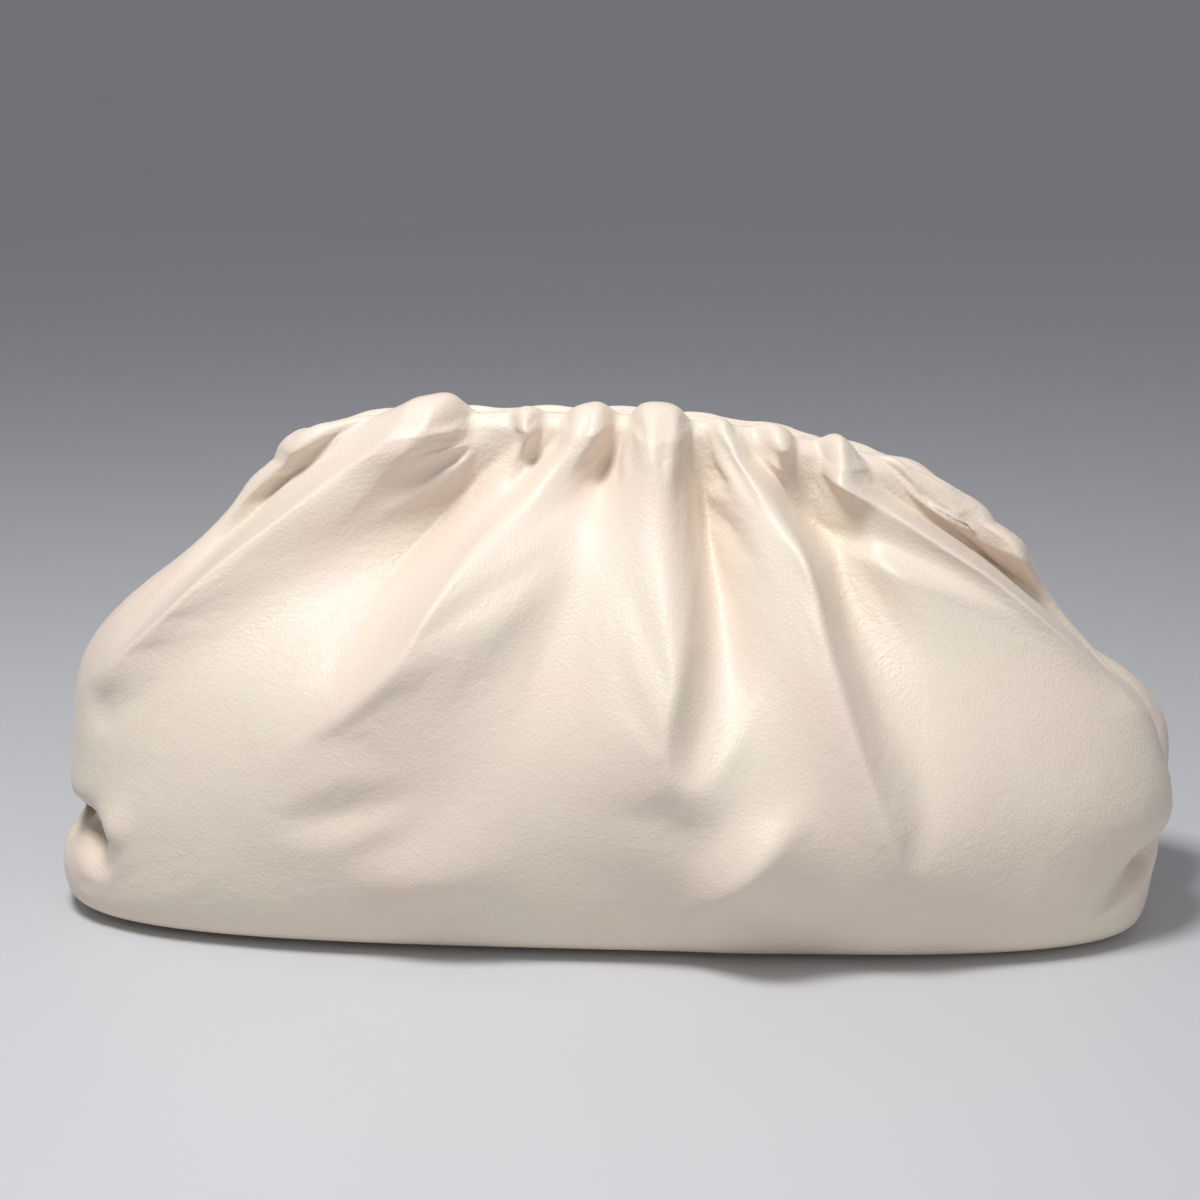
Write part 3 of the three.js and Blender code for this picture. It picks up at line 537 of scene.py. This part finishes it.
        far = np.where(over_end, np.abs(across), np.sqrt(best))
        a = (np.hypot(far, crest) - crest) / (np.hypot(width, crest) - crest)
        start, peak, at, end = height
        rise = start + (peak - start) * smooth(along / at)
        fall = peak + (end - peak) * smooth((along - at) / (1 - at))
        h = np.where(along < at, rise, fall)
        total[np.ix_(rows, cols)] += h * self.gain * np.clip(1 - a, 0, None) ** FLANK
        line = hold * np.clip(np.abs(h) / HELD_HEIGHT, 0, 1) * np.exp(-((far / HELD_WIDTH) ** 2))
        held[np.ix_(rows, cols)] = np.maximum(held[np.ix_(rows, cols)], line)

    def skin(self, w, t):
        """Outer points, the form without folds, and how firmly each point is held."""
        p = self.plain(w, t)
        up, half = self.measure(p, w)
        h, held = self.fold_heights(w, t, up, half)
        h = soften(h, 1)
        du = np.roll(p, -1, 1) - np.roll(p, 1, 1)
        n = unit(np.cross(du, np.gradient(p, axis=0)))
        level = unit(n * (1, 1, 0))
        turn = np.clip(((t - 1) * self.LIP_UNIT - self.lip_side) / self.roll, 0, np.pi)[:, None]
        below = smooth((t[:, None] - self.LEVEL_START) / self.LEVEL_RUN)
        bend = np.where(turn > 0, np.clip(np.cos(turn), 0, None), below)
        n = unit(n + (level - n) * bend[..., None])
        across = smooth(np.minimum(w, 1 - w) / self.END_FADE)
        seen = across[None, :, None] * smooth(1 - turn / self.LIP_FADE)[..., None]
        n = unit(n + TO_VIEWER * seen * self.to_viewer() * (1, 1, 0))
        over = p[..., 0] - np.clip(p[..., 0], self.left + self.roll_y, self.right - self.roll_y)
        room = np.maximum(np.hypot(over, p[..., 1]) - self.roll_y - (self.roll - self.sink), self.sink)
        h = np.where(h < 0, -room * (1 - np.exp(np.minimum(h, 0) / room)), h)
        h = h + self.puff * smooth((t[:, None] - self.PUFF_START) / self.PUFF_RUN)
        h = h * np.cos(turn / 2) ** 2 * smooth(t[:, None] / self.BASE_FADE)
        out = p + n * h[..., None]
        out[..., 2] = np.maximum(out[..., 2], 0)
        return out, p, held


def unit(v):
    return v / (np.linalg.norm(v, axis=-1, keepdims=True) + 1e-9)


def normals(grid):
    """Unit directions out of a closed grid of rows and columns."""
    return unit(np.cross(np.roll(grid, -1, 1) - np.roll(grid, 1, 1), np.gradient(grid, axis=0)))


def soften(a, n):
    """A soft average over n grid steps each way, wrapped around the bag."""
    for _ in range(2):
        wide = np.concatenate([a[:, -n:], a, a[:, :n]], 1)
        a = sum(wide[:, k:k + a.shape[1]] for k in range(2 * n + 1)) / (2 * n + 1)
        tall = np.concatenate([np.repeat(a[:1], n, 0), a, np.repeat(a[-1:], n, 0)])
        a = sum(tall[k:k + a.shape[0]] for k in range(2 * n + 1)) / (2 * n + 1)
    return a


def refine(grid, t, w, new_t, new_w):
    """The grid read again at other rows and columns, along smooth curves."""
    tall = spline(t, grid, new_t)
    ends = np.concatenate([w[-3:] - 2, w, w[:3] + 2])
    wide = np.concatenate([tall[:, -3:], tall, tall[:, :3]], 1)
    return spline(ends, wide.transpose(1, 0, 2), new_w).transpose(1, 0, 2)


# Objects and materials


def deselect():
    if bpy.context.object and bpy.context.object.mode != "OBJECT":
        bpy.ops.object.mode_set(mode="OBJECT")
    bpy.ops.object.select_all(action="DESELECT")


def add_node(tree, kind, settings=None, **links):
    """Adds a node. A link is a value, or an output socket to join to that input."""
    node = tree.nodes.new(kind)
    for name, value in (settings or {}).items():
        setattr(node, name, value)
    for name, value in links.items():
        key = int(name[1:]) if name[1:].isdigit() else name.replace("_", " ")
        socket = node.inputs[key]
        if isinstance(value, bpy.types.NodeSocket):
            tree.links.new(value, socket)
        else:
            socket.default_value = value
    return node


def new_material(name):
    material = bpy.data.materials.new(name)
    material.use_nodes = True
    material.node_tree.nodes.clear()
    return material, material.node_tree


def nappa_leather(look):
    """Smooth aniline-dyed lamb nappa: soft satin sheen, a fine pebble grain about 1 mm across, tiny
    crosswise wrinkles where a fold presses it together, a faint uneven dye, and painted shade in the folds."""
    material, tree = new_material("cream_nappa_leather")
    place = add_node(tree, "ShaderNodeTexCoord").outputs["Object"]
    folds = add_node(tree, "ShaderNodeAttribute", {"attribute_name": "fold_depth"}).outputs["Fac"]
    patches = add_node(tree, "ShaderNodeTexNoise", Vector=place, Scale=22.0, Detail=3.0, Roughness=0.55)
    patch_mask = add_node(tree, "ShaderNodeMapRange", Value=patches.outputs["Fac"],
                          From_Min=0.38, From_Max=0.66)
    dye = add_node(tree, "ShaderNodeMix", {"data_type": "RGBA"}, Factor=patch_mask.outputs["Result"],
                   _6=(*look.leather, 1), _7=(*look.leather_warm, 1))
    # painted shade: the deeper a point sinks into a fold, the more of the darker cream is mixed in
    depth = add_node(tree, "ShaderNodeMapRange", Value=folds, From_Min=0.15, From_Max=1.0, To_Max=0.8)
    colour = add_node(tree, "ShaderNodeMix", {"data_type": "RGBA"}, Factor=depth.outputs["Result"],
                      _6=dye.outputs[2], _7=(*look.leather_painted_shade, 1))
    # pebble grain: cells about 1.1 mm across
    grain = add_node(tree, "ShaderNodeTexVoronoi", {"feature": "SMOOTH_F1"}, Vector=place, Scale=1 / 0.0011,
                     Smoothness=0.6)
    # pressed wrinkles: about 4 mm apart, broken up
    wrinkle = add_node(tree, "ShaderNodeTexNoise", Vector=place, Scale=1 / 0.0045, Detail=2.0, Distortion=1.2)
    pressed = add_node(tree, "ShaderNodeMapRange", Value=folds, From_Min=0.05, From_Max=0.7, To_Min=0.12)
    wrinkle_height = add_node(tree, "ShaderNodeMath", {"operation": "MULTIPLY"},
                              _0=wrinkle.outputs["Fac"], _1=pressed.outputs["Result"])
    fine = add_node(tree, "ShaderNodeBump", Strength=0.4, Distance=0.0003, Height=grain.outputs["Distance"])
    coarse = add_node(tree, "ShaderNodeBump", Strength=0.4, Distance=0.0012,
                      Height=wrinkle_height.outputs["Value"], Normal=fine.outputs["Normal"])
    satin = add_node(tree, "ShaderNodeMapRange", Value=patches.outputs["Fac"], To_Min=0.44, To_Max=0.56)
    shader = add_node(tree, "ShaderNodeBsdfPrincipled", Base_Color=colour.outputs[2],
                      Roughness=satin.outputs["Result"], IOR=1.48, Normal=coarse.outputs["Normal"])
    shader.inputs["Sheen Weight"].default_value = 0.12
    shader.inputs["Sheen Roughness"].default_value = 0.5
    shader.inputs["Coat Weight"].default_value = 0.08
    shader.inputs["Coat Roughness"].default_value = 0.35
    add_node(tree, "ShaderNodeOutputMaterial", Surface=shader.outputs["BSDF"])
    return material


def brushed_steel(look):
    """Cold-rolled spring steel strip, brushed along its length: fine streaks and a dull shine."""
    material, tree = new_material("brushed_spring_steel")
    place = add_node(tree, "ShaderNodeTexCoord").outputs["Object"]
    along = add_node(tree, "ShaderNodeMapping", Vector=place, Scale=(8.0, 8.0, 900.0))
    streaks = add_node(tree, "ShaderNodeTexNoise", Vector=along.outputs["Vector"], Scale=4.0, Detail=4.0)
    dull = add_node(tree, "ShaderNodeMapRange", Value=streaks.outputs["Fac"], To_Min=0.26, To_Max=0.46)
    bump = add_node(tree, "ShaderNodeBump", Strength=0.2, Distance=0.0001, Height=streaks.outputs["Fac"])
    shader = add_node(tree, "ShaderNodeBsdfPrincipled", Base_Color=(*look.steel, 1), Metallic=1.0,
                      Roughness=dull.outputs["Result"], Normal=bump.outputs["Normal"])
    add_node(tree, "ShaderNodeOutputMaterial", Surface=shader.outputs["BSDF"])
    return material


def plain_floor(stage):
    """Matt painted board: even, pale, with a faint soft unevenness."""
    material, tree = new_material("matt_floor_board")
    place = add_node(tree, "ShaderNodeTexCoord").outputs["Object"]
    noise = add_node(tree, "ShaderNodeTexNoise", Vector=place, Scale=3.0)
    rough = add_node(tree, "ShaderNodeMapRange", Value=noise.outputs["Fac"], To_Min=0.42, To_Max=0.55)
    shader = add_node(tree, "ShaderNodeBsdfPrincipled", Base_Color=(*stage.floor, 1),
                      Roughness=rough.outputs["Result"])
    add_node(tree, "ShaderNodeOutputMaterial", Surface=shader.outputs["BSDF"])
    return material


def wrap_sheet(name, rows, points):
    """A flat sheet with one column per point of a ring, wrapped round and closed at its seam and poles."""
    bpy.ops.mesh.primitive_grid_add(x_subdivisions=points.shape[1] - 1, y_subdivisions=rows - 1, size=1)
    sheet = bpy.context.object
    sheet.name = name
    sheet.data.name = name
    sheet.data.vertices.foreach_set("co", points.reshape(-1))
    sheet.data.update()
    bpy.ops.object.mode_set(mode="EDIT")
    bpy.ops.mesh.select_all(action="SELECT")
    bpy.ops.mesh.remove_doubles(threshold=0.00001)
    bpy.ops.mesh.normals_make_consistent(inside=False)
    bpy.ops.object.mode_set(mode="OBJECT")
    bpy.ops.object.shade_smooth()
    return sheet


class POUCH_OT_leather_body(bpy.types.Operator):
    """The wrap of leather: base, belly, gathers, rolled lips, turned-in hem and inner skin"""
    bl_idname = "pouch.leather_body"
    bl_label = "Leather body"

    def execute(self, context):
        deselect()
        sizes = context.scene.pouch_sizes
        form = PouchForm(sizes)
        w = form.columns(sizes.cloth_front, sizes.cloth_back)
        t = form.rows(sizes.cloth_rows, *CLOTH_LIP)
        outer, plain, held = form.skin(w, t)
        outer = self.settle(context, form, outer, held, t)
        below = np.clip((CALM_TOP - t) / CALM_RUN, 0, 1)[:, None]
        free = (1 - soften(np.minimum(held * CALM_GAP, 1), 1)) * below
        outer = outer + (soften(outer, 2) - outer) * free[..., None] * CALM
        new_w = form.columns(sizes.front_columns, sizes.back_columns)
        new_t = form.rows(sizes.body_rows, *MESH_LIP)
        pressed = ((plain - outer) * normals(plain)).sum(-1, keepdims=True)
        pressed = refine(pressed, t, w, new_t, new_w)[..., 0]
        outer = refine(outer, t, w, new_t, new_w)
        outer[..., 2] = np.maximum(outer[..., 2], 0)
        self.build(context, form, sizes, outer, np.clip(pressed / PRESSED, 0, 1))
        return {"FINISHED"}

    def settle(self, context, form, outer, held, t):
        """Lets the leather settle between its fold lines as an enlarged cloth; gives the settled points."""
        cloth = context.scene.pouch_cloth
        rows, columns = outer.shape[:2]
        scale = cloth.enlarge * MM
        i = np.arange(rows - 1)[:, None] * columns
        j = np.arange(columns)[None, :]
        j2 = (j + 1) % columns
        faces = np.stack([i + j, i + j2, i + columns + j2, i + columns + j], -1).reshape(-1, 4)
        mesh = bpy.data.meshes.new("settling")
        mesh.from_pydata((outer.reshape(-1, 3) * scale).tolist(), [], faces.tolist())
        piece = bpy.data.objects.new("settling", mesh)
        context.scene.collection.objects.link(piece)
        context.view_layer.objects.active = piece
        hem = np.clip((t - form.hem_row) * form.LIP_UNIT / HEM_FADE + 0.5, 0, 1)
        base = np.clip((cloth.base_held - t) / cloth.base_held, 0, 1)
        pins = np.maximum(np.maximum(hem, base)[:, None], held).reshape(-1)
        levels = np.round(pins * PIN_LEVELS).astype(int)
        group = piece.vertex_groups.new(name="held")
        for level in range(1, PIN_LEVELS + 1):
            points = np.nonzero(levels == level)[0]
            if len(points):
                group.add(points.tolist(), level / PIN_LEVELS, "REPLACE")
        full = piece.vertex_groups.new(name="gathered")
        for k, share in enumerate(np.clip((t - GATHER_START) / GATHER_RUN, 0, 1)):
            if share > 0:
                full.add(list(range(k * columns, (k + 1) * columns)), float(share), "REPLACE")
        modifier = piece.modifiers.new("cloth", "CLOTH")
        settings = modifier.settings
        settings.quality = 6
        settings.mass = 0.3
        settings.tension_stiffness = cloth.tension
        settings.compression_stiffness = cloth.tension / 3
        settings.shear_stiffness = cloth.tension / 2
        settings.bending_stiffness = cloth.bending
        settings.tension_damping = 10
        settings.compression_damping = 10
        settings.shear_damping = 10
        settings.bending_damping = 2
        settings.air_damping = 2
        settings.vertex_group_mass = "held"
        settings.pin_stiffness = 1
        settings.use_pressure = True
        settings.uniform_pressure_force = cloth.pressure
        settings.effector_weights.gravity = 0
        settings.shrink_min = cloth.shrink_belly
        settings.shrink_max = cloth.shrink_rim
        settings.vertex_group_shrink = "gathered"
        modifier.collision_settings.use_collision = False
        modifier.point_cache.frame_start = 1
        modifier.point_cache.frame_end = cloth.frames + 1
        for number in range(1, cloth.frames + 1):
            context.scene.frame_set(number)
        result = piece.evaluated_get(context.evaluated_depsgraph_get()).to_mesh()
        points = np.empty(rows * columns * 3, np.float32)
        result.vertices.foreach_get("co", points)
        points = points.reshape(rows, columns, 3).astype(float) / scale
        if not np.isfinite(points).all() or np.linalg.norm(points - outer, axis=-1).max() > SETTLED:
            raise RuntimeError("the leather did not settle")
        bpy.data.objects.remove(piece)
        bpy.data.meshes.remove(mesh)
        context.scene.frame_set(1)
        return points

    def build(self, context, form, sizes, outer, pressed):
        """Closes the outer skin with its base, its inner skin and the floor inside."""
        inner = outer - normals(outer) * form.wall
        inner[0, :, 2] = form.wall
        inner[..., 2] = np.maximum(inner[..., 2], form.wall)
        rows = len(outer)
        keep = np.concatenate([np.arange(0, sizes.body_rows, INNER_STEPS[0]),
                               np.arange(sizes.body_rows, rows, INNER_STEPS[1]), [rows - 1]])
        inside = inner[np.unique(keep)[::-1]]
        under = np.array([outer[0].mean(0) * (1 - s) + outer[0] * s for s in FLOOR_RINGS])
        under[..., 2] = 0
        within = np.array([inside[-1].mean(0) * (1 - s) + inside[-1] * s for s in FLOOR_RINGS[::-1]])
        within[..., 2] = form.wall
        skin = np.concatenate([under, outer, inside, within])
        depth = np.concatenate([0 * under[..., 0], pressed, 0 * inside[..., 0], 0 * within[..., 0]])
        low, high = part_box("closing_frame")
        shift = ((low[0] + high[0]) / 2 / MM - form.middle, (low[1] + high[1]) / 2 / MM, 0)
        skin = (skin + shift) * MM
        closed = np.concatenate([skin, skin[:, :1]], 1)
        body = wrap_sheet("leather_wrap", len(closed), closed)
        self.mark_folds(body, skin, depth)
        body.data.materials.append(nappa_leather(context.scene.pouch_look))
        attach(body, "root")
        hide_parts("leather_body")

    def mark_folds(self, body, points, pressed):
        """Stores how far the leather is pressed in at each vertex."""
        flat = points.reshape(-1, 3)
        tree = KDTree(len(flat))
        for i, p in enumerate(flat):
            tree.insert(p, i)
        tree.balance()
        values = pressed.reshape(-1)
        found = [values[tree.find(v.co)[1]] for v in body.data.vertices]
        layer = body.data.attributes.new("fold_depth", "FLOAT", "POINT")
        layer.data.foreach_set("value", np.array(found, dtype=np.float32))


class POUCH_OT_closing_frame(bpy.types.Operator):
    """The hidden strip inside the rolled lips gets its steel"""
    bl_idname = "pouch.closing_frame"
    bl_label = "Closing frame"

    def execute(self, context):
        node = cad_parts["closing_frame"]
        node.data.materials.clear()
        node.data.materials.append(brushed_steel(context.scene.pouch_look))
        return {"FINISHED"}


class POUCH_OT_stage(bpy.types.Operator):
    """Floor, studio light and camera"""
    bl_idname = "pouch.stage"
    bl_label = "Stage"

    def execute(self, context):
        deselect()
        stage = context.scene.pouch_stage
        bpy.ops.mesh.primitive_plane_add(size=FLOOR_SIZE)
        floor = context.object
        floor.name = "floor"
        floor.data.materials.append(plain_floor(stage))
        self.area_light("key_light", KEY_PLACE, KEY_SIZE, stage.key_power)
        self.area_light("fill_light", FILL_PLACE, FILL_SIZE, stage.fill_power)
        world = bpy.data.worlds.new("studio")
        world.use_nodes = True
        back = world.node_tree.nodes["Background"]
        back.inputs["Color"].default_value = (*linear(SKY_COLOUR), 1)
        seen = add_node(world.node_tree, "ShaderNodeLightPath").outputs["Is Camera Ray"]
        strength = add_node(world.node_tree, "ShaderNodeMapRange", Value=seen, To_Min=SKY_LIGHT, To_Max=SKY_SEEN)
        world.node_tree.links.new(strength.outputs["Result"], back.inputs["Strength"])
        context.scene.world = world
        self.camera(context, stage)
        context.scene.view_settings.view_transform = "Standard"
        return {"FINISHED"}

    def area_light(self, name, place, size, power):
        bpy.ops.object.light_add(type="AREA", location=place)
        lamp = bpy.context.object
        lamp.name = name
        lamp.data.size = size
        lamp.data.energy = power
        lamp.rotation_euler = (Vector(BAG_MIDDLE) - Vector(place)).to_track_quat("-Z", "Y").to_euler()

    def camera(self, context, stage):
        low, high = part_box("closing_frame")
        target = Vector(((low[0] + high[0]) / 2 + VIEW_ASIDE * MM, (low[1] + high[1]) / 2,
                         VIEW_HEIGHT * MM))
        azimuth = math.radians(stage.azimuth)
        elevation = math.radians(stage.elevation)
        back = Vector((math.sin(azimuth) * math.cos(elevation), -math.cos(azimuth) * math.cos(elevation),
                       math.sin(elevation)))
        bpy.ops.object.camera_add(location=target + back * stage.distance)
        camera = context.object
        camera.name = "photo_camera"
        camera.rotation_euler = (-back).to_track_quat("-Z", "Y").to_euler()
        camera.data.lens = stage.lens
        camera.data.sensor_width = VIEW_SENSOR
        context.scene.camera = camera


class POUCH_PT_panel(bpy.types.Panel):
    """Steps of the pouch, in order"""
    bl_idname = "POUCH_PT_panel"
    bl_label = "Pouch"
    bl_space_type = "VIEW_3D"
    bl_region_type = "UI"
    bl_category = "Pouch"

    def draw(self, context):
        for group in (context.scene.pouch_sizes, context.scene.pouch_cloth, context.scene.pouch_look,
                      context.scene.pouch_stage):
            box = self.layout.box()
            for name in group.__annotations__:
                box.prop(group, name)
        for step in STEPS:
            self.layout.operator(step.bl_idname)


GROUPS = (PouchSizes, PouchCloth, PouchLook, PouchStage)
STEPS = (POUCH_OT_leather_body, POUCH_OT_closing_frame, POUCH_OT_stage)


def register():
    for item in GROUPS + STEPS + (POUCH_PT_panel,):
        bpy.utils.register_class(item)
    bpy.types.Scene.pouch_sizes = bpy.props.PointerProperty(type=PouchSizes)
    bpy.types.Scene.pouch_cloth = bpy.props.PointerProperty(type=PouchCloth)
    bpy.types.Scene.pouch_look = bpy.props.PointerProperty(type=PouchLook)
    bpy.types.Scene.pouch_stage = bpy.props.PointerProperty(type=PouchStage)


def unregister():
    del bpy.types.Scene.pouch_stage
    del bpy.types.Scene.pouch_look
    del bpy.types.Scene.pouch_cloth
    del bpy.types.Scene.pouch_sizes
    for item in reversed(GROUPS + STEPS + (POUCH_PT_panel,)):
        bpy.utils.unregister_class(item)


def main():
    register()
    bpy.ops.pouch.leather_body()
    bpy.ops.pouch.closing_frame()
    bpy.ops.pouch.stage()


if __name__ == "__main__":
    main()
